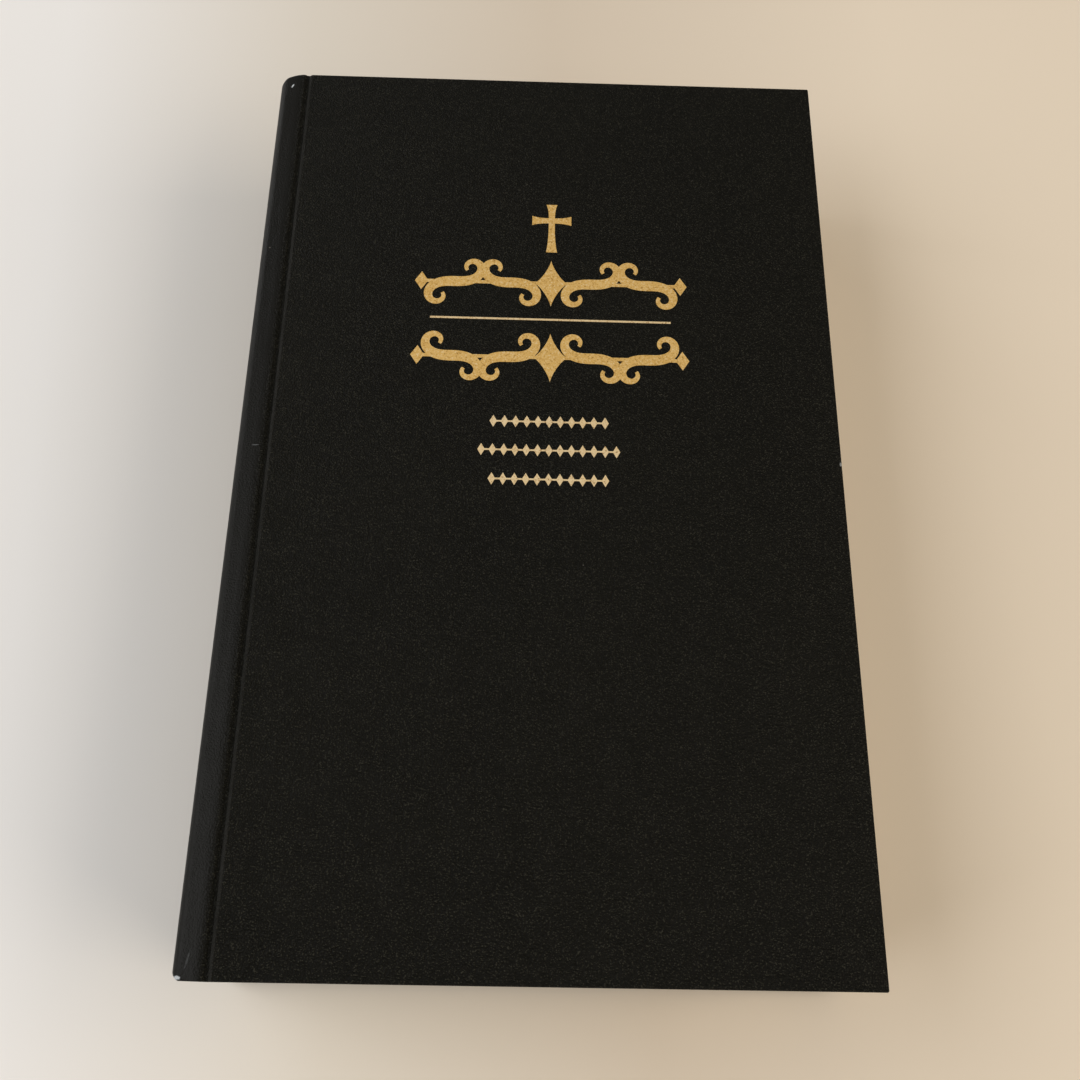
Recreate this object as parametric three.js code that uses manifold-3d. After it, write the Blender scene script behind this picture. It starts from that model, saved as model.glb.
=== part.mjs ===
// A case-bound bible lying on its back cover, in millimetres.
// X runs from the spine to the fore-edge, Y from the tail to the head, Z up through the front cover.
import * as THREE from 'three';
import { mergeVertices } from 'three/addons/utils/BufferGeometryUtils.js';
import Module from 'manifold-3d';

const wasm = await Module();
wasm.setup();

// Overall sizes of the closed book
const coverWidth = 138;
const coverHeight = 219;
const thickness = 44;

// The case: boards, inlay and covering material
const boardThick = 2.2;
const coveringThick = 0.5;
const turnInThick = 0.4;
const turnInWidth = 15;
const pastedownThick = 0.2;
const pastedownMargin = 3;
const inlayThick = 0.7;
const inlayMargin = 5;

// The spine and its two joint grooves
const spineBulge = 1;
const shoulderRadius = 2.4;
const shoulderDrop = 0.35;
const shoulderFall = 0.5;
const capRound = 3;
const hingeFromSpine = 7;
const grooveDepth = 0.8;
const grooveFloor = 0.9;
const grooveMouth = 2.7;

// The page block
const squareHead = 3;
const squareFore = 3.5;
const foreHollow = 1;
const flyleafThick = 0.2;
const leavesThick = 3;
const leavesPerEnd = 3;
const ridgeWidth = 1.2;

// What holds the back of the page block
const threadThick = 0.3;
const threadWidth = 0.8;
const threadSpacing = 40;
const threadCount = 5;
const mullThick = 0.2;
const mullShort = 12;
const liningThick = 0.3;
const liningShort = 4;
const bandRadius = 1;
const bandInset = 0.6;

// Foil stamping on the front cover, placed from the middle of the book
const foilThick = 0.06;
const foilX = 2.6;
const crossY = 63.5;
const crossHeight = 14;
const crossWidth = 9.6;
const crossArm = 1.5;
const crossFlare = 2.7;
const crossBarAt = 0.66;
const scrollY = [47.6, 27.2];
const scrollHeight = 13;
const scrollPitch = 13.4;
const scrollStroke = 2.8;
const scrollTip = 0.8;
const stemWidth = 0.9;
const starWidth = 8;
const bandHalf = 31;
const ruleY = 37.5;
const ruleWidth = 0.5;
const ruleLength = 57;
const rowY = [10.4, 3.2, -4];
const rowBeads = [11, 13, 11];
const beadPitch = 2.55;
const beadWidth = 1.7;
const beadHeight = 3;
const beadString = 0.4;

// Clearances
const partingGap = 0.3;
const hollowGap = 1;
const insideGap = 0.5;
const ridgeGap = 0.4;

// Planes and edges that several pieces share
const midZ = thickness / 2;
const spineX = -coverWidth / 2;
const foreX = coverWidth / 2;
const headY = coverHeight / 2;
const capY = headY - capRound;
const hingeX = spineX + hingeFromSpine;
const boardX = hingeX + grooveMouth / 2 + coveringThick;
const boardDown = coveringThick;
const turnInDown = boardDown + boardThick;
const pastedownDown = turnInDown + turnInThick;
const pagesDown = pastedownDown + pastedownThick;
const pageTop = thickness - pagesDown;
const pageHead = headY - squareHead;
const pageForeX = foreX - squareFore;

// The spine's arc: every layer of the back is concentric with its outer face
const arcHalf = midZ - shoulderRadius;
const arcRadius = (arcHalf * arcHalf + spineBulge * spineBulge) / (2 * spineBulge);
const arcX = spineX + arcRadius;
const inlayR = arcRadius - coveringThick;
const inlayInnerR = inlayR - inlayThick;
const hollowR = inlayInnerR - turnInThick;
const liningR = hollowR - hollowGap;
const mullR = liningR - liningThick;
const threadR = mullR - mullThick;
const blockR = threadR - threadThick;

const group = new THREE.Group();

const materials = {
  covering: new THREE.MeshStandardMaterial({ name: 'covering', color: 0x17171a, roughness: 0.55 }),
  board: new THREE.MeshStandardMaterial({ name: 'board', color: 0x8b8374, roughness: 0.9 }),
  pages: new THREE.MeshStandardMaterial({ name: 'pages', color: 0xe9e2d2, roughness: 0.85 }),
  endpaper: new THREE.MeshStandardMaterial({ name: 'endpaper', color: 0xf0ece2, roughness: 0.8 }),
  thread: new THREE.MeshStandardMaterial({ name: 'thread', color: 0xe8e2d0, roughness: 0.9 }),
  band: new THREE.MeshStandardMaterial({ name: 'band', color: 0x2a2a2e, roughness: 0.8 }),
  mull: new THREE.MeshStandardMaterial({ name: 'mull', color: 0xdcd6c4, roughness: 0.95 }),
  lining: new THREE.MeshStandardMaterial({ name: 'lining', color: 0xa98f66, roughness: 0.9 }),
  foil: new THREE.MeshStandardMaterial({ name: 'foil', color: 0xd6a850, metalness: 0.9, roughness: 0.35 }),
};

function addMesh(name, geometry, material) {
  const mesh = new THREE.Mesh(geometry, material);
  mesh.name = name;
  group.add(mesh);
}

// A closed prism: an outline in X and Z, carried from one Y to another.
function alongY(points, fromY, toY) {
  const shape = new THREE.Shape(points.map(([x, z]) => new THREE.Vector2(x, z)));
  const geometry = new THREE.ExtrudeGeometry(shape, { depth: toY - fromY, bevelEnabled: false, steps: 1 });
  const position = geometry.attributes.position;
  for (let i = 0; i < position.count; i += 1) {
    const atTop = position.getZ(i) > 0;
    position.setXYZ(i, position.getX(i), atTop ? fromY : toY, position.getY(i));
  }
  return geometry;
}

// A box between two corners.
function block(lowX, lowY, lowZ, highX, highY, highZ) {
  return alongY([[lowX, lowZ], [highX, lowZ], [highX, highZ], [lowX, highZ]], lowY, highY);
}

// A flat shape in X and Y, raised from one Z to another.
function alongZ(points, fromZ, toZ) {
  const shape = new THREE.Shape(points.map(([x, y]) => new THREE.Vector2(x, y)));
  const geometry = new THREE.ExtrudeGeometry(shape, { depth: 1, bevelEnabled: false, steps: 1 });
  const position = geometry.attributes.position;
  for (let i = 0; i < position.count; i += 1) {
    position.setZ(i, position.getZ(i) > 0.5 ? toZ : fromZ);
  }
  return geometry;
}

function toSolid(geometry) {
  const bare = geometry.clone();
  bare.deleteAttribute('normal');
  bare.deleteAttribute('uv');
  const merged = mergeVertices(bare, 1e-5);
  const vertProperties = Float32Array.from(merged.attributes.position.array);
  const triVerts = Uint32Array.from(merged.index.array);
  return new wasm.Manifold(new wasm.Mesh({ numProp: 3, vertProperties, triVerts }));
}

function toGeometry(solid) {
  const mesh = solid.getMesh();
  const geometry = new THREE.BufferGeometry();
  geometry.setAttribute('position', new THREE.BufferAttribute(Float32Array.from(mesh.vertProperties), 3));
  geometry.setIndex(new THREE.BufferAttribute(Uint32Array.from(mesh.triVerts), 1));
  geometry.computeVertexNormals();
  return geometry;
}

function joined(geometries) {
  const solids = geometries.map(toSolid);
  return toGeometry(solids.reduce((whole, part) => whole.add(part)));
}

// The same outline seen from the rear of the book.
function turnedOver(points) {
  return points.map(([x, z]) => [x, thickness - z]).reverse();
}

function bothEnds(points, rear) {
  return rear ? turnedOver(points) : points;
}

// Every layer of the back bends at the same heights, so that its flat strips meet its neighbour's.
const inlayLowZ = inlayMargin;
const inlayHighZ = thickness - inlayMargin;
const backSteps = 20;
const backStep = (inlayHighZ - inlayLowZ) / backSteps;

function onArc(radius, z) {
  const rise = z - midZ;
  return arcX - Math.sqrt(radius * radius - rise * rise);
}

function backX(radius, z) {
  const below = Math.floor((z - inlayLowZ) / backStep);
  if (below < 0 || below >= backSteps) {
    return onArc(radius, z);
  }
  const lowZ = inlayLowZ + below * backStep;
  const share = (z - lowZ) / backStep;
  return onArc(radius, lowZ) * (1 - share) + onArc(radius, lowZ + backStep) * share;
}

// Points on an arc of the back, from a low Z to a high Z.
function backArc(radius, lowZ, highZ) {
  const points = [[backX(radius, lowZ), lowZ]];
  for (let i = 0; i <= backSteps; i += 1) {
    const z = inlayLowZ + i * backStep;
    if (z > lowZ + 1e-6 && z < highZ - 1e-6) {
      points.push([onArc(radius, z), z]);
    }
  }
  points.push([backX(radius, highZ), highZ]);
  return points;
}

// A layer of the back between two radii.
function backLayer(outer, inner, lowZ, highZ) {
  return [...backArc(inner, lowZ, highZ), ...backArc(outer, lowZ, highZ).reverse()];
}

// The fore-edge of the page block, hollowed by as much as its back is rounded.
function foreEdge(z) {
  const across = (z - midZ) / (pageTop - midZ);
  return pageForeX - foreHollow * (1 - across * across);
}

function foreArc(lowZ, highZ, steps) {
  const points = [];
  for (let i = 0; i <= steps; i += 1) {
    const z = lowZ + (highZ - lowZ) * i / steps;
    points.push([foreEdge(z), z]);
  }
  return points;
}

// ---- Covering material on the spine: out of one groove, round the back and into the other ----

// The outer face from the groove floor up over the shoulder to the middle of the back,
// moved inwards by the given amount.
function shoulderPath(inset) {
  const topZ = thickness - shoulderDrop - inset;
  const floorZ = thickness - grooveDepth - inset;
  const wallX = hingeX - grooveMouth / 2 - inset;
  const floorX = hingeX - grooveFloor / 2 - inset / 2;
  const points = [[hingeX - partingGap / 2, floorZ], [floorX, floorZ], [wallX, topZ]];
  const centreZ = thickness - shoulderDrop - shoulderFall - shoulderRadius;
  const slope = Math.asin((centreZ - midZ) / (arcRadius - shoulderRadius));
  const centreX = arcX - (arcRadius - shoulderRadius) * Math.cos(slope);
  const radius = shoulderRadius - inset;
  const across = wallX - centreX;
  const above = topZ - centreZ;
  const firstTurn = Math.atan2(above, across) + Math.acos(radius / Math.hypot(across, above));
  for (let i = 0; i <= 6; i += 1) {
    const turn = firstTurn + (Math.PI - slope - firstTurn) * i / 6;
    points.push([centreX + radius * Math.cos(turn), centreZ + radius * Math.sin(turn)]);
  }
  return points;
}

function spineStrip(outerInset, innerInset) {
  const side = (inset) => {
    const front = shoulderPath(inset);
    const highZ = front[front.length - 1][1];
    const arc = backArc(arcRadius - inset, thickness - highZ, highZ).slice(1, -1).reverse();
    return [...front, ...arc, ...turnedOver(front)];
  };
  return [...side(outerInset), ...side(innerInset).reverse()];
}

// The outline that the spine's two ends are rounded to, seen from above.
function capOutline() {
  const points = [];
  for (let i = 0; i <= 6; i += 1) {
    const turn = Math.PI / 2 * i / 6;
    const x = spineX + capRound * (1 - Math.cos(turn));
    points.push([x, capY + capRound * Math.sin(turn)]);
  }
  const upper = [...points, [hingeX, headY]];
  return [...upper.map(([x, y]) => [x, -y]), ...upper.reverse()];
}

const endWallY = headY - coveringThick;
const turnInY = headY - turnInWidth;
const strip = toSolid(alongY(spineStrip(0, coveringThick), -headY, headY));
const spineParts = [
  toGeometry(strip.intersect(toSolid(alongZ(capOutline(), -1, thickness + 1)))),
];
for (const side of [-1, 1]) {
  const wall = [side * (capY - coveringThick), side * capY].sort((a, b) => a - b);
  const fold = [side * turnInY, side * capY].sort((a, b) => a - b);
  const wallLayer = backLayer(arcRadius - coveringThick / 2, hollowR, inlayLowZ, inlayHighZ);
  const foldLayer = backLayer(inlayInnerR, hollowR, inlayLowZ, inlayHighZ);
  spineParts.push(alongY(wallLayer, wall[0], wall[1]));
  spineParts.push(alongY(foldLayer, fold[0], fold[1]));
}
addMesh('spine_covering', joined(spineParts), materials.covering);

const inlay = backLayer(inlayR, inlayInnerR, inlayLowZ, inlayHighZ);
addMesh('spine_inlay', alongY(inlay, coveringThick - capY, capY - coveringThick), materials.board);

// ---- Boards, their covering and the pastedowns ----

const boardForeX = foreX - coveringThick;
const windowForeX = foreX - turnInWidth;
const windowHeadY = headY - turnInWidth;

for (const [name, rear] of [['front', false], ['back', true]]) {
  const level = (down) => (rear ? down : thickness - down);
  const slab = (x0, y0, down0, x1, y1, down1) => {
    const zs = [level(down0), level(down1)].sort((a, b) => a - b);
    return block(x0, y0, zs[0], x1, y1, zs[1]);
  };
  const edgeX = boardX - coveringThick;
  const outer = toSolid(slab(edgeX, -headY, 0, foreX, headY, pastedownDown));
  const cavity = toSolid(slab(boardX, -endWallY, boardDown, boardForeX, endWallY, turnInDown));
  const window = toSolid(slab(edgeX - 1, -windowHeadY, turnInDown - 0.1, windowForeX, windowHeadY, thickness / 2));
  const grooveInner = grooveDepth + coveringThick;
  const floorX = hingeX + grooveFloor / 2;
  const joint = [
    [hingeX + partingGap / 2, thickness - grooveDepth],
    [hingeX + partingGap / 2, thickness - grooveInner],
    [boardX - coveringThick / 4, thickness - grooveInner],
    [boardX - coveringThick / 4, thickness - coveringThick],
    [edgeX, thickness],
    [floorX, thickness - grooveDepth],
  ];
  const jointStrip = toSolid(alongY(bothEnds(joint, rear), -headY, headY));
  const sheet = outer.subtract(cavity).subtract(window).add(jointStrip);
  addMesh(`${name}_covering`, toGeometry(sheet), materials.covering);
  const board = slab(boardX, -endWallY, boardDown, boardForeX, endWallY, turnInDown);
  addMesh(`${name}_board`, board, materials.board);

  const pasteHeadY = headY - pastedownMargin;
  const pasteForeX = foreX - pastedownMargin;
  const sheetDown = toSolid(slab(boardX, -pasteHeadY, pastedownDown, pasteForeX, pasteHeadY, pagesDown));
  const centre = toSolid(slab(boardX, -windowHeadY, turnInDown, windowForeX, windowHeadY, pagesDown));
  addMesh(rear ? 'rear_pastedown' : 'front_pastedown', toGeometry(sheetDown.add(centre)), materials.endpaper);
}

// ---- The page block, its moving leaves and flyleaves ----

const leafX = hingeX + insideGap;
const gutterX = leafX - partingGap;
const leavesDown = pagesDown + flyleafThick;
const coreDown = leavesDown + leavesPerEnd * leavesThick;
const ridgeX = hingeX - grooveMouth / 2 - coveringThick - partingGap;
const ridgeBase = thickness - pagesDown;
const ridgeTop = thickness - shoulderDrop - shoulderFall - coveringThick - ridgeGap;
const ridgePoints = [
  [gutterX, thickness - coreDown],
  [gutterX, ridgeBase],
  [ridgeX, ridgeBase],
  [ridgeX - ridgeWidth / 2, ridgeTop],
  [ridgeX - ridgeWidth, ridgeTop],
];
const blockOutline = [
  ...foreArc(coreDown, thickness - coreDown, 10),
  ...ridgePoints,
  ...backArc(blockR, pagesDown + 0.6, thickness - pagesDown - 0.6).reverse(),
  ...turnedOver(ridgePoints),
];
addMesh('page_block', alongY(blockOutline, -pageHead, pageHead), materials.pages);

for (const [name, rear] of [['front', false], ['rear', true]]) {
  const sheet = (down0, down1) => {
    const right = foreArc(thickness - down1, thickness - down0, 4);
    const outline = [[leafX, thickness - down1], ...right, [leafX, thickness - down0]];
    return alongY(bothEnds(outline, rear), -pageHead, pageHead);
  };
  addMesh(`${name}_flyleaf`, sheet(pagesDown, leavesDown), materials.endpaper);
  for (let i = 0; i < leavesPerEnd; i += 1) {
    const down = leavesDown + i * leavesThick;
    addMesh(`${name}_leaves_${i + 1}`, sheet(down, down + leavesThick), materials.pages);
  }
}

// ---- Sewing, mull, lining and bands on the back of the block ----

const backLowZ = pagesDown + 1.2;
const backHighZ = thickness - backLowZ;
for (let i = 0; i < threadCount; i += 1) {
  const y = (i - (threadCount - 1) / 2) * threadSpacing;
  const thread = backLayer(threadR, blockR, backLowZ + 1, backHighZ - 1);
  addMesh(`sewing_thread_${i + 1}`, alongY(thread, y - threadWidth / 2, y + threadWidth / 2), materials.thread);
}
const mull = backLayer(mullR, threadR, backLowZ, backHighZ);
addMesh('mull', alongY(mull, mullShort - pageHead, pageHead - mullShort), materials.mull);
const lining = backLayer(liningR, mullR, backLowZ + 0.5, backHighZ - 0.5);
addMesh('spine_lining', alongY(lining, liningShort - pageHead, pageHead - liningShort), materials.lining);

// A half-round bead whose flat lies on the end of the page block.
for (const [name, side] of [['head_band', 1], ['tail_band', -1]]) {
  const bandX = arcX - blockR + spineBulge + bandInset + bandRadius;
  const points = [];
  for (let i = 0; i <= 10; i += 1) {
    const turn = Math.PI * i / 10;
    points.push([bandX + bandRadius * Math.cos(turn), side * (pageHead + bandRadius * Math.sin(turn))]);
  }
  const outline = side > 0 ? points : points.reverse();
  addMesh(name, alongZ(outline, backLowZ, backHighZ), materials.band);
}

// ---- Foil stamping: a cross, two scroll bands, a rule and three rows of beads ----

function foilPiece(outlines, x, y) {
  const placed = outlines.map((points) => points.map(([u, v]) => [x + u, y + v]));
  return joined(placed.map((points) => alongZ(points, thickness, thickness + foilThick)));
}

function counterClockwise(points) {
  let area = 0;
  for (let i = 0; i < points.length; i += 1) {
    const [x0, y0] = points[i];
    const [x1, y1] = points[(i + 1) % points.length];
    area += x0 * y1 - x1 * y0;
  }
  return area > 0 ? points : [...points].reverse();
}

// A bar from one point to another that widens from its start to its end.
function flaredBar(x0, y0, x1, y1, startWidth, endWidth) {
  const length = Math.hypot(x1 - x0, y1 - y0);
  const nx = -(y1 - y0) / length;
  const ny = (x1 - x0) / length;
  const left = [];
  const right = [];
  for (let i = 0; i <= 8; i += 1) {
    const along = i / 8;
    const half = (startWidth + (endWidth - startWidth) * along ** 3) / 2;
    const x = x0 + (x1 - x0) * along;
    const y = y0 + (y1 - y0) * along;
    left.push([x + nx * half, y + ny * half]);
    right.push([x - nx * half, y - ny * half]);
  }
  return counterClockwise([...left, ...right.reverse()]);
}

const barY = crossHeight * (crossBarAt - 0.5);
const crossOutlines = [
  flaredBar(0, barY, 0, crossHeight / 2, crossArm, crossFlare),
  flaredBar(0, barY, 0, -crossHeight / 2, crossArm, crossFlare),
  flaredBar(0, barY, crossWidth / 2, barY, crossArm, crossFlare),
  flaredBar(0, barY, -crossWidth / 2, barY, crossArm, crossFlare),
];
addMesh('foil_cross', foilPiece(crossOutlines, foilX, crossY), materials.foil);

// An S-shaped scroll whose two ends curl in, thick in the middle and thin at the tips.
function scroll(centreX, flip) {
  const steps = 44;
  const reach = 1.86;
  const scale = scrollHeight / 1.62;
  const centres = [];
  let x = 0;
  let y = 0;
  const fine = 20;
  for (let i = 0; i <= steps; i += 1) {
    centres.push([x, y]);
    for (let j = 0; j < fine; j += 1) {
      const s = reach * (i + (j + 0.5) / fine) / steps;
      const step = reach / steps / fine;
      x += Math.cos(Math.PI * s * s / 2) * step;
      y += Math.sin(Math.PI * s * s / 2) * step;
    }
  }
  const path = [...centres.slice(1).reverse().map(([a, b]) => [-a, -b]), ...centres];
  const left = [];
  const right = [];
  for (let i = 0; i < path.length; i += 1) {
    const before = path[Math.max(i - 1, 0)];
    const after = path[Math.min(i + 1, path.length - 1)];
    const length = Math.hypot(after[0] - before[0], after[1] - before[1]);
    const nx = -(after[1] - before[1]) / length;
    const ny = (after[0] - before[0]) / length;
    const along = Math.abs(2 * i / (path.length - 1) - 1);
    const half = (scrollTip + (scrollStroke - scrollTip) * (1 - along ** 1.5)) / 2;
    const px = centreX + flip * path[i][0] * scale;
    const py = path[i][1] * scale;
    left.push([px + flip * nx * half, py + ny * half]);
    right.push([px - flip * nx * half, py - ny * half]);
  }
  return counterClockwise([...left, ...right.reverse()]);
}

function lozenge(centreX, width, height) {
  return [[centreX - width / 2, 0], [centreX, -height / 2], [centreX + width / 2, 0], [centreX, height / 2]];
}

function star(width, height) {
  const points = [];
  for (let i = 0; i < 32; i += 1) {
    const turn = 2 * Math.PI * i / 32;
    const c = Math.cos(turn);
    const s = Math.sin(turn);
    points.push([width / 2 * Math.sign(c) * Math.abs(c) ** 2.6, height / 2 * Math.sign(s) * Math.abs(s) ** 2.6]);
  }
  return points;
}

function bandOutlines(up) {
  const stem = [[-bandHalf, -stemWidth / 2], [bandHalf, -stemWidth / 2], [bandHalf, stemWidth / 2],
    [-bandHalf, stemWidth / 2]];
  const outlines = [stem, star(starWidth, scrollHeight), lozenge(-bandHalf, 3.2, 5), lozenge(bandHalf, 3.2, 5)];
  for (const side of [-1, 1]) {
    for (const place of [0, 1]) {
      const centre = side * (starWidth / 2 + scrollPitch * (place + 0.42));
      outlines.push(scroll(centre, side * (place ? -1 : 1) * up));
    }
  }
  return outlines;
}

addMesh('foil_band_upper', foilPiece(bandOutlines(1), foilX, scrollY[0]), materials.foil);
addMesh('foil_band_lower', foilPiece(bandOutlines(-1), foilX, scrollY[1]), materials.foil);
const rule = [[-ruleLength / 2, -ruleWidth / 2], [ruleLength / 2, -ruleWidth / 2],
  [ruleLength / 2, ruleWidth / 2], [-ruleLength / 2, ruleWidth / 2]];
addMesh('foil_rule', foilPiece([rule], foilX, ruleY), materials.foil);
for (let i = 0; i < rowY.length; i += 1) {
  const half = (rowBeads[i] - 1) / 2 * beadPitch;
  const string = [[-half, -beadString / 2], [half, -beadString / 2], [half, beadString / 2], [-half, beadString / 2]];
  const outlines = [string];
  for (let j = 0; j < rowBeads[i]; j += 1) {
    outlines.push(lozenge(j * beadPitch - half, beadWidth, beadHeight));
  }
  addMesh(`foil_row_${i + 1}`, foilPiece(outlines, foilX, rowY[i]), materials.foil);
}

export default group;
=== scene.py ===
"""A hardcover bible lying on its back cover: leather over boards, gold stamping and thin leaves.

Metres. X runs from the spine to the fore-edge, Y from the tail to the head, Z up through the front cover.
"""
import math

import bpy
from mathutils import Matrix, Vector


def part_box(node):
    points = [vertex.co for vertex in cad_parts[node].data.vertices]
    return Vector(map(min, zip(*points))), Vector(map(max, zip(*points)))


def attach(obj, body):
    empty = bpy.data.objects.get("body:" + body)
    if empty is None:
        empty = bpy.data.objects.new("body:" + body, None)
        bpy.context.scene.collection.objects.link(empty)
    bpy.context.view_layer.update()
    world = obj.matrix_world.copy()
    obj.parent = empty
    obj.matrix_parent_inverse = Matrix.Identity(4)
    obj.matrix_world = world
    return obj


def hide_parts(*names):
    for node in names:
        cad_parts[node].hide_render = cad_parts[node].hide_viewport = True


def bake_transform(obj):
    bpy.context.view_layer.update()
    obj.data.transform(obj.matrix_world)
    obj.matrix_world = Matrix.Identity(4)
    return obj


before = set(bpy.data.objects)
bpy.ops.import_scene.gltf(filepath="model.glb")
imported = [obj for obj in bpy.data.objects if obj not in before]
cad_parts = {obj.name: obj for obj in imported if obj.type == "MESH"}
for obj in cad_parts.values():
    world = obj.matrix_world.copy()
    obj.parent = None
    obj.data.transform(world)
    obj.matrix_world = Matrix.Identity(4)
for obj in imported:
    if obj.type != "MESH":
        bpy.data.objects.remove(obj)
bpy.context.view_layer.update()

MM = 0.001


# ---------------------------------------------------------------- sizes taken from the frame

def in_mm(corner):
    return [value / MM for value in corner]


case_low, case_high = (in_mm(c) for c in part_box("front_covering"))
spine_low, spine_high = (in_mm(c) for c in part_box("spine_covering"))
board_low, board_high = (in_mm(c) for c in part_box("front_board"))
block_low, block_high = (in_mm(c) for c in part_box("page_block"))
flyleaf_low, flyleaf_high = (in_mm(c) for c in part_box("front_flyleaf"))
leaves_low, leaves_high = (in_mm(c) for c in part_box("front_leaves_1"))
pastedown_low, pastedown_high = (in_mm(c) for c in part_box("front_pastedown"))
inlay_low, inlay_high = (in_mm(c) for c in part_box("spine_inlay"))

THICK = case_high[2]
MID = THICK / 2
HEAD = case_high[1]
FORE = case_high[0]
SPINE = spine_low[0]
HINGE_FROM_SPINE = 7
HINGE = SPINE + HINGE_FROM_SPINE
BEND_BACK = 1.45
BEND_FRONT = 1.35
BOARD = board_low[0]
LEATHER = BOARD - (HINGE + BEND_FRONT)
CASE = THICK - case_low[2]
PAGE_HEAD = block_high[1]
PAGE_FORE = flyleaf_high[0]
FLYLEAF_TOP = flyleaf_high[2]
LEAVES_TOP = leaves_high[2]
LEAVES_THICK = leaves_high[2] - leaves_low[2]
BUNDLES = 3
CORE_TOP = LEAVES_TOP - BUNDLES * LEAVES_THICK
ENDPAPER = 0.2
TURN_IN = 15
TURN_IN_THICK = 0.4
BULGE = 1
SHOULDER_ROUND = 2.4
SHOULDER_DOWN = 0.85
ARC_HALF = MID - SHOULDER_ROUND
ARC = (ARC_HALF ** 2 + BULGE ** 2) / (2 * BULGE)
ARC_X = SPINE + ARC


# ---------------------------------------------------------------- shader wiring

class Wire:
    """A shader socket that adds Math nodes when it is used in an expression."""

    def __init__(self, look, socket):
        self.look = look
        self.socket = socket

    def _maths(self, operation, *values):
        return self.look.node("Math", {"operation": operation}, dict(enumerate(values)))

    def __add__(self, other):
        return self._maths("ADD", self, other)

    def __sub__(self, other):
        return self._maths("SUBTRACT", self, other)

    def __rsub__(self, other):
        return self._maths("SUBTRACT", other, self)

    def __mul__(self, other):
        return self._maths("MULTIPLY", self, other)

    def __lt__(self, other):
        return self._maths("LESS_THAN", self, other)

    def __gt__(self, other):
        return self._maths("GREATER_THAN", self, other)

    def __abs__(self):
        return self._maths("ABSOLUTE", self)

    __radd__ = __add__
    __rmul__ = __mul__


class Look:
    """One finish: a material with its nodes."""

    def __init__(self, name):
        self.material = bpy.data.materials.new(name)
        self.material.use_nodes = True
        self.tree = self.material.node_tree
        self.tree.nodes.clear()

    def node(self, kind, settings=None, inputs=None, out=0):
        made = self.tree.nodes.new("ShaderNode" + kind)
        for key, value in (settings or {}).items():
            if key == "stops":
                self.set_stops(made.color_ramp, value)
            else:
                setattr(made, key, value)
        for key, value in (inputs or {}).items():
            if isinstance(value, Wire):
                self.tree.links.new(value.socket, made.inputs[key])
            else:
                made.inputs[key].default_value = value
        return Wire(self, made.outputs[out])

    @staticmethod
    def set_stops(ramp, stops):
        while len(ramp.elements) < len(stops):
            ramp.elements.new(0.5)
        for element, (place, shade) in zip(ramp.elements, stops):
            element.position = place
            element.color = (shade, shade, shade, 1) if isinstance(shade, (int, float)) else (*shade, 1)

    def place(self):
        """Where a point of the piece lay in the closed book."""
        return self.node("Attribute", {"attribute_name": "closed_place"}, out="Vector")

    def axes(self, vector):
        split = self.tree.nodes.new("ShaderNodeSeparateXYZ")
        self.tree.links.new(vector.socket, split.inputs[0])
        return [Wire(self, output) for output in split.outputs]

    def scaled(self, vector, x, y, z):
        return self.node("VectorMath", {"operation": "MULTIPLY"}, {0: vector, 1: (x, y, z)})

    def noise(self, vector, scale, detail=2.0, rough=0.5):
        return self.node("TexNoise", None, {"Vector": vector, "Scale": scale, "Detail": detail, "Roughness": rough})

    def ramp(self, factor, *stops):
        return self.node("ValToRGB", {"stops": stops}, {"Fac": factor})

    def mixed(self, factor, first, second):
        def colour(value):
            return value if isinstance(value, Wire) else (*value, 1)
        return self.node("Mix", {"data_type": "RGBA"}, {0: factor, 6: colour(first), 7: colour(second)}, out=2)

    def bump(self, height, strength, distance):
        return self.node("Bump", None, {"Height": height, "Strength": strength, "Distance": distance})

    def finish(self, inputs):
        shader = self.node("BsdfPrincipled", None, inputs)
        end = self.tree.nodes.new("ShaderNodeOutputMaterial")
        self.tree.links.new(shader.socket, end.inputs["Surface"])
        return self.material


# ---------------------------------------------------------------- finishes

def mark(look, place, centre, reach, turned):
    """A small pale mark, for wear and for a painted glint: 1 at a point given in millimetres, 0 beyond its reach."""
    centre, reach = [v * MM for v in centre], [1 / (v * MM) for v in reach]
    apart = look.node("VectorMath", {"operation": "SUBTRACT"}, {0: place, 1: centre})
    apart = look.node("VectorRotate", {"rotation_type": "Z_AXIS"}, {"Vector": apart, "Angle": math.radians(turned)})
    far = look.node("VectorMath", {"operation": "LENGTH"}, {0: look.scaled(apart, *reach)}, out="Value")
    ragged = far + look.noise(place, 1800, 3.0, 0.7) * 1.2 - 0.6
    return look.ramp(ragged, (0.55, 1.0), (0.95, 0.0))


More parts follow.
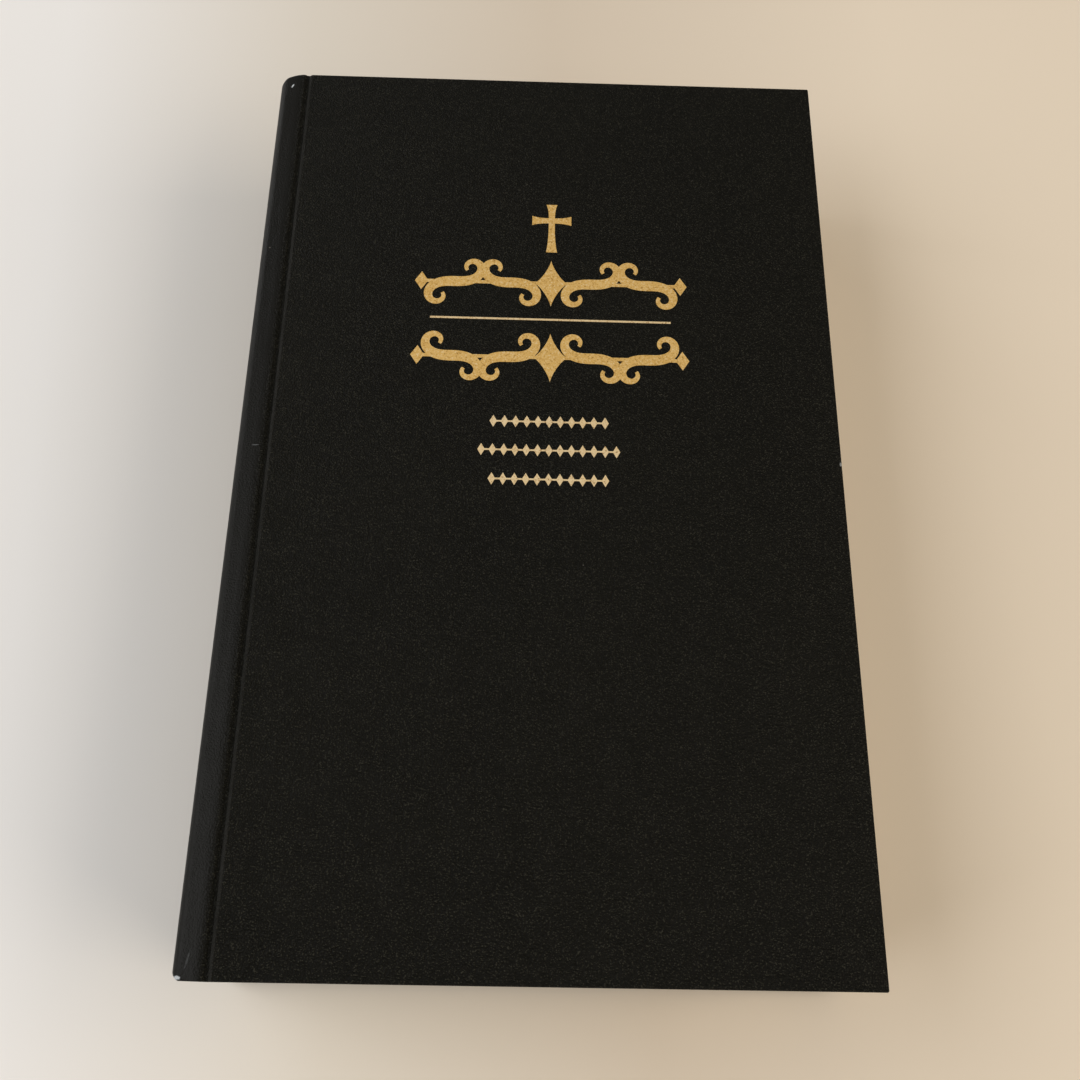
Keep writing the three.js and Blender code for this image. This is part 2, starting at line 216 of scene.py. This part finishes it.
def cover_leather():
    """Black grained leather, smoother and glossier where it is stretched over the joint and the spine, with dust and
    wear, and with painted sheen, painted highlights and a painted glint in its colour.
    """
    look = Look("cover_leather")
    place = look.place()
    x = look.axes(place)[0]
    # Where the leather is stretched over the joint and the spine: smoother, and painted lighter as a sheen.
    drawn_and_sheen = look.ramp((HINGE * MM + 0.0003 - x) * 900, (0.0, 0.0), (1.0, 1.0))
    # A painted highlight along the board's edge beside the joint, broken into patches by noise.
    ridge = abs(x - (BOARD - 0.1) * MM)
    highlight_patches = look.ramp(look.noise(place, 60, 2.0), (0.3, 0.5), (0.6, 1.0))
    ridge = look.ramp(ridge * 1000, (0.25, 1.0), (0.55, 0.0)) * highlight_patches
    warp = look.noise(place, 900, 2.0)
    bent = look.node("VectorMath", {"operation": "ADD"}, {0: place, 1: look.scaled(warp, 0.0005, 0.0005, 0.0005)})
    pebble = look.node("TexVoronoi", {"feature": "F1"}, {"Vector": bent, "Scale": 2500})
    crease = look.noise(place, 3600, 3.0, 0.6)
    patch = look.noise(place, 160, 3.0)
    broad = look.noise(place, 30, 2.0)
    grain = (1 - drawn_and_sheen * 0.8) * (pebble * -1.0 + crease * 0.6) * (0.5 + patch)
    pull = look.noise(look.scaled(place, 500, 60, 500), 1.0, 2.0)
    cell = {"Vector": place, "Scale": 95}
    chance = look.axes(look.node("TexVoronoi", None, cell, out="Color"))[0]
    near = look.node("TexVoronoi", None, cell, out="Distance")
    dust = (near < chance * 0.035 - 0.012) * (chance > 0.62)
    wear_and_glint = mark(look, place, (-67.2, -108.9, 43.0), (1.5, 0.5, 1.2), 0)
    # At the head of the spine: a painted glint, a painted highlight.
    wear_and_glint = wear_and_glint + mark(look, place, (-64.7, 106.1, 43.6), (0.28, 0.75, 1.5), 25)
    wear_and_glint = wear_and_glint + mark(look, place, (-63.3, 3.1, 43.6), (1.1, 0.16, 1.5), 0) * 0.2
    wear_and_glint = wear_and_glint + mark(look, place, (68.7, 1.5, 43.9), (0.35, 0.7, 0.8), 0) * 0.5
    wear_and_glint = wear_and_glint + mark(look, place, (-64.9, -105.5, 43.4), (0.25, 2.2, 1.5), 12) * 0.06
    base = look.mixed(broad, (0.0024, 0.0024, 0.0016), (0.0040, 0.0039, 0.0025))
    # Painted highlight on the raised tops of the grain.
    grain_top_highlight = look.ramp(crease * 0.6 + (1 - pebble) * 0.3, (0.5, 0.0), (0.61, 0.85))
    base = look.mixed(grain_top_highlight, base, (0.040, 0.039, 0.029))
    # Lighter base colour over the joint and spine: painted sheen.
    base = look.mixed(drawn_and_sheen, base, (0.0062, 0.0061, 0.0052))
    # Painted highlight along the board's edge.
    base = look.mixed(ridge * 0.9, base, (0.017, 0.0165, 0.0145))
    base = look.mixed(dust * 0.8, base, (0.2, 0.19, 0.17))
    # Pale marks: wear, and a painted glint at the head of the spine.
    base = look.mixed(wear_and_glint, base, (0.42, 0.45, 0.47))
    return look.finish({
        "Base Color": base,
        "Roughness": 0.52 - drawn_and_sheen * 0.14 - ridge * 0.12 + (patch - 0.5) * 0.15,
        "Specular IOR Level": 0.075,
        "Normal": look.bump(grain + pull * drawn_and_sheen * 0.2, 1.0, 0.0003),
    })


def gold_foil(name, bright, deep):
    """Stamped foil: gold with pale flecks of painted highlight, and fine pits where the grain of the leather shows
    through.
    """
    look = Look(name)
    place = look.node("TexCoord", out="Object")
    pits = look.noise(place, 2600, 3.0, 0.65)
    broad = look.noise(place, 160, 2.0)
    gold = look.mixed(broad, bright, deep)
    # Pale flecks: painted highlight.
    gold = look.mixed(look.ramp(pits, (0.54, 0.0), (0.68, 0.7)), gold, (0.95, 0.80, 0.52))
    gold = look.mixed(look.ramp(pits, (0.34, 0.85), (0.44, 0.0)), gold, (0.36, 0.18, 0.04))
    return look.finish({
        "Base Color": gold,
        "Metallic": 0.55,
        "Roughness": 0.42 + (pits - 0.5) * 0.2,
        "Normal": look.bump(pits, 0.25, 0.00004),
    })


def page_edges(name, edge_shade, face_shade):
    """Thin leaves: fine lines on the cut edges, plain paper on the faces."""
    look = Look(name)
    place = look.place()
    x, y = look.axes(place)[:2]
    face = (abs(y) < (PAGE_HEAD - 0.2) * MM) * (x < (PAGE_FORE - 1.4) * MM)
    lines = look.noise(look.scaled(place, 30, 30, 9000), 1.0, 2.0, 0.7) * (1 - face) + face * 0.62
    bands = look.noise(look.scaled(place, 12, 12, 900), 1.0, 2.0) * (1 - face)
    fibre = look.noise(place, 900, 3.0, 0.6)
    tint = look.mixed(lines, [v * 0.72 for v in edge_shade], edge_shade)
    tint = look.mixed(bands * 0.15, tint, [v * 0.9 for v in face_shade])
    tint = look.mixed(fibre * 0.12, tint, [v * 0.8 for v in edge_shade])
    return look.finish({
        "Base Color": tint,
        "Roughness": 0.82,
        "Specular IOR Level": 0.25,
        "Normal": look.bump(lines * 0.8 + fibre * 0.2, 0.4, 0.00005),
    })


def paper(name, shade, fibre_scale):
    """Board or kraft paper: pulp fibres with a faint cloudiness."""
    look = Look(name)
    place = look.node("TexCoord", out="Object")
    fibre = look.noise(place, fibre_scale, 4.0, 0.6)
    cloud = look.noise(place, 30, 2.0)
    tint = look.mixed(fibre * 0.5, shade, [v * 0.88 for v in shade])
    tint = look.mixed(cloud * 0.3, tint, [v * 0.94 for v in shade])
    return look.finish({
        "Base Color": tint,
        "Roughness": 0.85,
        "Specular IOR Level": 0.25,
        "Normal": look.bump(fibre, 0.3, 0.00004),
    })


def woven(name, warp_shade, weft_shade, pitch):
    """Thread or open cloth: two sets of threads across each other."""
    look = Look(name)
    place = look.node("TexCoord", out="Object")
    across = look.node("TexWave", {"bands_direction": "Z"}, {"Vector": place, "Scale": pitch, "Distortion": 0.6})
    along = look.node("TexWave", {"bands_direction": "Y"}, {"Vector": place, "Scale": pitch, "Distortion": 0.6})
    weave = across * along
    return look.finish({
        "Base Color": look.mixed(weave, weft_shade, warp_shade),
        "Roughness": 0.9 - weave * 0.1,
        "Normal": look.bump(weave, 0.6, 0.0001),
    })


def band_stripes():
    """Head band: silk wound in two colours."""
    look = Look("band_stripes")
    place = look.node("TexCoord", out="Object")
    z = look.axes(place)[2]
    turns = look.node("Math", {"operation": "SINE"}, {0: z * (2 * math.pi / 0.0012)})
    stripe = look.ramp(turns * 0.5 + 0.5, (0.42, 0.0), (0.58, 1.0))
    colour = look.mixed(stripe, (0.01, 0.01, 0.011), (0.62, 0.56, 0.42))
    thread = look.node("Math", {"operation": "SINE"}, {0: z * (2 * math.pi / 0.0004)})
    return look.finish({
        "Base Color": colour,
        "Roughness": 0.6,
        "Normal": look.bump(thread, 0.6, 0.00008),
    })


def floor_painted_light():
    look = Look("floor_painted_light")
    place = look.node("TexCoord", out="Object")
    x, y = look.axes(place)[:2]
    # Painted light and shade: palest far to the left, darker and warmer near the book, lighter again far to the right.
    painted_light_sweep = look.ramp(x * 1.6 + y * 0.15 + 0.5, (0.29, (0.745, 0.742, 0.742)), (0.41, (0.63, 0.59, 0.53)),
                      (0.53, (0.575, 0.505, 0.42)), (0.7, (0.70, 0.62, 0.515)))
    soft = look.noise(place, 14, 2.0)
    return look.finish({
        "Base Color": look.mixed(soft * 0.08, painted_light_sweep, (0.66, 0.6, 0.5)),
        "Roughness": 0.7,
        "Specular IOR Level": 0.2,
    })


# ---------------------------------------------------------------- making pieces

def alone(obj):
    """Only this piece is selected and active."""
    bpy.ops.object.select_all(action="DESELECT")
    bpy.context.view_layer.objects.active = obj
    obj.select_set(True)


def edit(obj, elements="VERT"):
    alone(obj)
    bpy.ops.object.mode_set(mode="EDIT")
    bpy.ops.mesh.select_mode(type=elements)


def done():
    bpy.ops.object.mode_set(mode="OBJECT")


def apply(obj, kind, **settings):
    """Adds a modifier, sets it and applies it."""
    alone(obj)
    made = obj.modifiers.new(kind.lower(), kind)
    for key, value in settings.items():
        setattr(made, key, value)
    bpy.ops.object.modifier_apply(modifier=made.name)


def box(name, low, high):
    """A box between two corners, in millimetres."""
    bpy.ops.object.select_all(action="DESELECT")
    size = [(b - a) * MM for a, b in zip(low, high)]
    middle = [(a + b) / 2 * MM for a, b in zip(low, high)]
    bpy.ops.mesh.primitive_cube_add(size=1, location=middle, scale=size)
    made = bpy.context.object
    made.name = name
    bpy.ops.object.transform_apply(location=True, rotation=True, scale=True)
    return made


def pick(obj, test):
    """Selects the vertices for which the test holds, from object mode."""
    for vertex in obj.data.vertices:
        vertex.select = test(vertex.co / MM)
    for edge in obj.data.edges:
        edge.select = all(obj.data.vertices[i].select for i in edge.vertices)
    for face in obj.data.polygons:
        face.select = all(obj.data.vertices[i].select for i in face.vertices)


def shift(obj, test, x):
    """Moves the vertices for which the test holds along X, in millimetres."""
    pick(obj, test)
    edit(obj)
    bpy.ops.transform.translate(value=(x * MM, 0, 0))
    done()


def trace(points, y):
    """Draws a line through points in X and Z, in edit mode, by extruding one vertex along it."""
    start = Vector((points[0][0] * MM, y * MM, points[0][1] * MM))
    bpy.ops.mesh.select_all(action="DESELECT")
    bpy.ops.mesh.primitive_plane_add(size=MM, location=start)
    bpy.ops.mesh.merge(type="CENTER")
    for before, after in zip(points, points[1:]):
        step = Vector(((after[0] - before[0]) * MM, 0, (after[1] - before[1]) * MM))
        bpy.ops.mesh.extrude_region_move(TRANSFORM_OT_translate={"value": step})


def ladder(name, rungs, stations):
    """A solid between two lines joined by rungs in X and Z, carried along Y from station to station."""
    bpy.ops.object.select_all(action="DESELECT")
    bpy.ops.mesh.primitive_plane_add(size=MM)
    made = bpy.context.object
    made.name = name
    edit(made)
    bpy.ops.mesh.select_all(action="SELECT")
    bpy.ops.mesh.delete(type="VERT")
    for side in zip(*rungs):
        trace(side, stations[0])
    bpy.ops.mesh.select_all(action="SELECT")
    bpy.ops.mesh.bridge_edge_loops()
    bpy.ops.mesh.select_all(action="SELECT")
    for before, after in zip(stations, stations[1:]):
        bpy.ops.mesh.extrude_region_move(TRANSFORM_OT_translate={"value": Vector((0, (after - before) * MM, 0))})
    bpy.ops.mesh.select_all(action="SELECT")
    bpy.ops.mesh.normals_make_consistent(inside=False)
    done()
    return made


def keep_place(obj):
    """Stores where each vertex lies in the closed book, for the patterns on the piece."""
    places = obj.data.attributes.new("closed_place", "FLOAT_VECTOR", "POINT")
    flat = [value for vertex in obj.data.vertices for value in vertex.co]
    places.data.foreach_set("vector", flat)


def dress(obj, look, degrees=35):
    """Finishes a piece: smooth shading, its place and its material."""
    alone(obj)
    bpy.ops.object.shade_smooth_by_angle(angle=math.radians(degrees))
    keep_place(obj)
    obj.data.materials.clear()
    obj.data.materials.append(look)


def cut(obj, tool):
    apply(obj, "BOOLEAN", object=tool, operation="DIFFERENCE", solver="EXACT")
    bpy.data.objects.remove(tool, do_unlink=True)


def join(obj, tool):
    apply(obj, "BOOLEAN", object=tool, operation="UNION", solver="EXACT")
    bpy.data.objects.remove(tool, do_unlink=True)


def turn_over(rungs, rear):
    return [tuple((x, THICK - z) for x, z in rung) for rung in rungs] if rear else rungs


# ---------------------------------------------------------------- the covering

def on_back(radius, z):
    return ARC_X - math.sqrt(radius ** 2 - (z - MID) ** 2)


# The joint from the spine to the board: places across from the hinge, and how far each lies below the cover's face.
GROOVE = [(-BEND_BACK, 0.38), (-1.1, 0.34), (-0.75, 0.3), (-0.4, 0.26), (-0.1, 0.24), (0.12, 0.25), (0.3, 0.29),
          (0.46, 0.36), (0.6, 0.45), (0.74, 0.53), (0.88, 0.58), (1.02, 0.61), (1.18, 0.63), (1.35, 0.64), (1.5, 0.64)]


def covering_path(inset, rear):
    """The covering's outer face, moved in by inset: the joint alone for the rear, the whole spine for the front."""
    centre_z = THICK - SHOULDER_DOWN - SHOULDER_ROUND
    slope = math.asin((centre_z - MID) / (ARC - SHOULDER_ROUND))
    centre_x = ARC_X - (ARC - SHOULDER_ROUND) * math.cos(slope)
    path = []
    for i in range(12):
        turn = slope * i / 12
        path.append((ARC_X - (ARC - inset) * math.cos(turn), MID + (ARC - inset) * math.sin(turn)))
    radius = SHOULDER_ROUND - inset
    edge_x, edge_z = HINGE + GROOVE[0][0], THICK - GROOVE[0][1]
    across, above = edge_x - centre_x, edge_z - inset - centre_z
    first = math.atan2(above, across) + math.acos(radius / math.hypot(across, above))
    for i in range(13):
        turn = math.pi - slope - (math.pi - slope - first) * i / 12
        path.append((centre_x + radius * math.cos(turn), centre_z + radius * math.sin(turn)))
    start_x, start_z = path[-1]
    for i in range(1, 6):
        share = i / 6
        path.append((start_x + (edge_x - start_x) * share, start_z + (edge_z - inset - start_z) * share))
    joint = [(HINGE + x, THICK - down - inset) for x, down in GROOVE]
    if rear:
        return [(x, THICK - z) for x, z in joint]
    below = [(x, THICK - z) for x, z in path[1:] + joint[:1]]
    return below[::-1] + path + joint


def half_covering(rear):
    """The leather round one board and over its joint; the front one carries on round the spine."""
    name = "back_leather" if rear else "front_leather"

    def solid(low, high):
        (x0, y0, z0), (x1, y1, z1) = low, high
        if rear:
            z0, z1 = THICK - z1, THICK - z0
        return (x0, y0, z0), (x1, y1, z1)

    case = box(name, *solid((BOARD - LEATHER, -HEAD, THICK - CASE), (FORE, HEAD, THICK)))
    pick(case, lambda at: at.x < BOARD and (THICK - at.z if rear else at.z) > THICK - 1)
    edit(case, "EDGE")
    bpy.ops.mesh.bevel(offset=0.95 * MM, segments=6, affect="EDGES")
    done()
    apply(case, "BEVEL", width=0.4 * MM, segments=4, limit_method="ANGLE", angle_limit=math.radians(60))
    cut(case, box("board_room", *solid(board_low, board_high)))
    cut(case, box("inside_window", *solid(
        (BOARD - 3, TURN_IN - HEAD, THICK - CASE - 1), (FORE - TURN_IN, HEAD - TURN_IN, board_low[2] + 0.05))))
    rungs = list(zip(covering_path(LEATHER, rear), covering_path(0, rear)))
    ends = [0, 0.12, 0.3, 0.55, 0.85, 1.2, 1.7, 2.4, 3.2, 14.9, TURN_IN]
    stations = [e - HEAD for e in ends] + [HEAD - e for e in reversed(ends)]
    strip = ladder("spine_strip", rungs, stations)
    draw_in_ends(strip, rungs)
    join(case, strip)
    return case


# How far the spine's corners are rounded, and how much its end slants, at the head (1) and the tail (-1).
CORNERS = {1: (2.9, 0.1), -1: (1.6, 0.1)}
END_ROLL = 1.2


def draw_in_ends(strip, rungs):
    """Rolls the leather over at the two ends of the spine, rounds its corners and doubles it where it is turned in."""
    for vertex in strip.data.vertices:
        x, y, z = vertex.co / MM
        outer, inner = min(((b, a) for a, b in rungs), key=lambda pair: min(
            math.dist(pair[0], (x, z)), math.dist(pair[1], (x, z))))
        folded = math.dist(inner, (x, z)) < 0.1 and HEAD - abs(y) < TURN_IN - 0.05 and abs(z - MID) > MID - 3.2
        slack = min(1.0, max(0.0, (HINGE - 0.6 - x) / 6)) ** 2
        corner, slant = CORNERS[1 if y > 0 else -1]
        inset = min(1.0, max(0.0, (x - SPINE - 0.75) / corner))
        slanted = slant * min(1.0, max(0.0, (HINGE + 1 - x) / 5))
        reach = HEAD - slanted - corner * (1 - math.sqrt(1 - (1 - inset) ** 2))
        from_end = HEAD - abs(y)
        roll = END_ROLL - math.sqrt(max(0.0, END_ROLL ** 2 - (END_ROLL - min(from_end, END_ROLL)) ** 2))
        moved = roll * slack + (TURN_IN_THICK if folded else 0)
        vertex.co.x += (inner[0] - outer[0]) / LEATHER * moved * MM
        vertex.co.z += (inner[1] - outer[1]) / LEATHER * moved * MM
        pulled = (HEAD - reach) * max(0.0, 1 - from_end / 5)
        vertex.co.y = math.copysign(abs(y) - pulled, y) * MM


def spine_turn_in(name, end):
    """Leather folded over one end of the inlay: a thick wall at the end and a thin fold behind the inlay."""
    corner, slant = CORNERS[end]
    low, high = inlay_low[2], inlay_high[2]
    levels = [low + (high - low) * i / 24 for i in range(25)]
    rungs = [((on_back(ARC - 1.6, z), z), (on_back(ARC - 0.45, z), z)) for z in levels]
    wall = inlay_high[1] + 0.03
    far = HEAD - corner - slant + 0.05
    stations = [HEAD - TURN_IN, wall, wall + 0.1, far - 0.2, far]
    made = ladder(name, rungs, sorted(end * y for y in stations))
    shift(made, lambda at: at.x < on_back(ARC - 1, at.z) and abs(at.y) < wall + 0.05, 0.75)
    shift(made, lambda at: at.x < on_back(ARC - 1, at.z) and abs(at.y) > far - 0.05, 0.2)
    shift(made, lambda at: at.x > on_back(ARC - 1, at.z) and abs(at.y) > far - 0.05, -0.2)
    return made


# ---------------------------------------------------------------- leaves and endpapers

def fore_edge(z):
    across = (z - MID) / (FLYLEAF_TOP - MID)
    return PAGE_FORE - (1 - across ** 2)


BLOCK_R = ARC - 3.6
SHEET_START = HINGE - 1.2
LEAF_BEND = HINGE - 0.5
BEND_STOPS = [LEAF_BEND + 0.8 * i for i in range(13)] + [LEAF_BEND + 12]


def leaf_bundle(name, low_z, high_z, ridge, rear):
    """A bundle of leaves from the back of the block to the fore-edge, with cuts where it bends."""
    rungs = [((on_back(BLOCK_R, low_z), low_z), (on_back(BLOCK_R, high_z), high_z + ridge * 0.7))]
    for x, rise in ((HINGE - 2.4, 1.0), (HINGE - 2.0, 0.8), (HINGE - 1.5, 0.25), (HINGE - 1, 0.0)):
        rungs.append(((x, low_z), (x, high_z + ridge * rise)))
    for x in BEND_STOPS:
        rungs.append(((x, low_z), (x, high_z)))
    rungs.append(((fore_edge(low_z), low_z), (fore_edge(high_z), high_z)))
    return ladder(name, turn_over(rungs, rear), [-PAGE_HEAD, PAGE_HEAD])


def core_leaves():
    """The leaves in the middle of the book, which stay with the spine."""
    rungs = []
    for i in range(13):
        z = (THICK - CORE_TOP) + (2 * CORE_TOP - THICK) * i / 12
        rungs.append(((on_back(BLOCK_R, z), z), (fore_edge(z), z)))
    return ladder("middle_leaves", rungs, [-PAGE_HEAD, PAGE_HEAD])


def thin_sheet(name, x0, x1, low_z, high_z, reach, rear):
    """A single endpaper, with cuts where it bends."""
    rungs = [((x0, low_z), (x0, high_z))]
    stops = [SHEET_START + 0.25 * i for i in range(12)] if name.endswith("pastedown") else BEND_STOPS
    for x in stops:
        if x > x0 + 0.1:
            rungs.append(((x, low_z), (x, high_z)))
    rungs.append(((x1, low_z), (x1, high_z)))
    return ladder(name, turn_over(rungs, rear), [-reach, reach])


# ---------------------------------------------------------------- build

leather = cover_leather()
leaf_paper = page_edges("leaf_paper", (0.80, 0.74, 0.62), (0.84, 0.79, 0.69))
endpaper = page_edges("endpaper", (0.86, 0.83, 0.76), (0.86, 0.83, 0.76))
greyboard = paper("greyboard", (0.30, 0.27, 0.22), 1400)
kraft = paper("kraft", (0.42, 0.30, 0.17), 1100)
linen_thread = woven("linen_thread", (0.78, 0.73, 0.62), (0.6, 0.55, 0.45), 900)
mull_cloth = woven("mull_cloth", (0.76, 0.72, 0.62), (0.45, 0.41, 0.33), 420)
broad_foil = gold_foil("broad_foil", (0.86, 0.57, 0.19), (0.74, 0.45, 0.12))
fine_foil = gold_foil("fine_foil", (0.92, 0.74, 0.46), (0.82, 0.60, 0.30))
silk_band = band_stripes()

for rear in (False, True):
    end = "rear" if rear else "front"
    axis_z = 0 if rear else THICK * MM
    bend_from = ((HINGE - BEND_BACK) * MM, 0, axis_z)
    bend_to = ((HINGE + BEND_FRONT) * MM, 0, axis_z)
    half = half_covering(rear)
    dress(half, leather, 40)
    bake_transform(half)
    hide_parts("back_covering" if rear else "front_covering", "spine_covering")

    pastedown = thin_sheet(f"{end}_endpaper_pastedown", SHEET_START, pastedown_high[0], FLYLEAF_TOP,
                           FLYLEAF_TOP + ENDPAPER, pastedown_high[1], rear)
    dress(pastedown, endpaper)
    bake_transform(pastedown)
    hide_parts(f"{end}_pastedown")

    leaf_from = (LEAF_BEND * MM, 0, axis_z)
    leaf_to = ((HINGE + 9) * MM, 0, axis_z)
    flyleaf = thin_sheet(f"{end}_endpaper_flyleaf", SHEET_START, PAGE_FORE, LEAVES_TOP, FLYLEAF_TOP, PAGE_HEAD, rear)
    dress(flyleaf, endpaper)
    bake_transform(flyleaf)
    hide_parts(f"{end}_flyleaf")

    for i in range(BUNDLES):
        top = LEAVES_TOP - i * LEAVES_THICK
        bundle = leaf_bundle(f"{end}_leaf_bundle_{i + 1}", top - LEAVES_THICK, top, 1.6 if i == 0 else 0, rear)
        dress(bundle, leaf_paper)
        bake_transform(bundle)
        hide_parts(f"{end}_leaves_{i + 1}")

for end, name in ((1, "head_turn_in"), (-1, "tail_turn_in")):
    fold = spine_turn_in(name, end)
    dress(fold, leather)
    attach(fold, "block")
    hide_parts("spine_covering")

middle = core_leaves()
dress(middle, leaf_paper)
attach(middle, "block")
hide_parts("page_block")

CAD_LOOKS = {
    "foil_cross": broad_foil,
    "foil_band": broad_foil,
    "foil_rule": fine_foil,
    "foil_row": fine_foil,
    "head_band": silk_band,
    "tail_band": silk_band,
    "sewing_thread": linen_thread,
    "mull": mull_cloth,
    "spine_lining": kraft,
    "spine_inlay": greyboard,
    "front_board": greyboard,
    "back_board": greyboard,
}
for node_name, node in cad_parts.items():
    for start, look in CAD_LOOKS.items():
        if node_name.startswith(start):
            node.data.materials.clear()
            node.data.materials.append(look)


# ---------------------------------------------------------------- stage, light and camera

bpy.ops.object.select_all(action="DESELECT")
bpy.ops.mesh.primitive_plane_add(size=4, location=(0, 0, 0))
floor = bpy.context.object
floor.name = "floor"
floor.data.materials.append(floor_painted_light())


def softbox(name, place, aim, size, power, colour):
    bpy.ops.object.select_all(action="DESELECT")
    bpy.ops.object.light_add(type="AREA", location=place)
    lamp = bpy.context.object
    lamp.name = name
    lamp.data.shape = "RECTANGLE"
    lamp.data.size, lamp.data.size_y = size
    lamp.data.energy = power
    lamp.data.color = colour
    lamp.rotation_euler = (Vector(aim) - Vector(place)).to_track_quat("-Z", "Y").to_euler()


softbox("window", (-1.0, -0.1, 0.85), (0, 0, 0.03), (1.1, 1.1), 13.5, (1.0, 0.99, 0.985))
softbox("lamp", (1.1, -0.3, 0.7), (0.05, 0, 0.03), (1.1, 1.1), 13.5, (1.0, 0.87, 0.70))
softbox("rim", (-0.95, 0.75, 0.35), (-0.07, 0.05, 0.03), (0.5, 0.3), 2.5, (1.0, 1.0, 1.0))

world = bpy.data.worlds.new("studio")
bpy.context.scene.world = world
world.use_nodes = True
world.node_tree.nodes["Background"].inputs["Color"].default_value = (1.0, 0.965, 0.91, 1)
world.node_tree.nodes["Background"].inputs["Strength"].default_value = 0.3

camera = bpy.data.cameras.new("camera")
camera.sensor_width = 36
camera.lens = 37.86
camera_object = bpy.data.objects.new("camera", camera)
bpy.context.scene.collection.objects.link(camera_object)
right = Vector((0.9996, 0.0147, 0.0247))
up = Vector((-0.0227, 0.931, 0.3644))
back = Vector((-0.0176, -0.3648, 0.9309))
turn = Matrix((right, up, back)).transposed().to_4x4()
camera_object.matrix_world = Matrix.Translation(Vector((-3.45, -109.1, 275.2)) * MM) @ turn
bpy.context.scene.camera = camera_object
bpy.context.scene.view_settings.view_transform = "Standard"
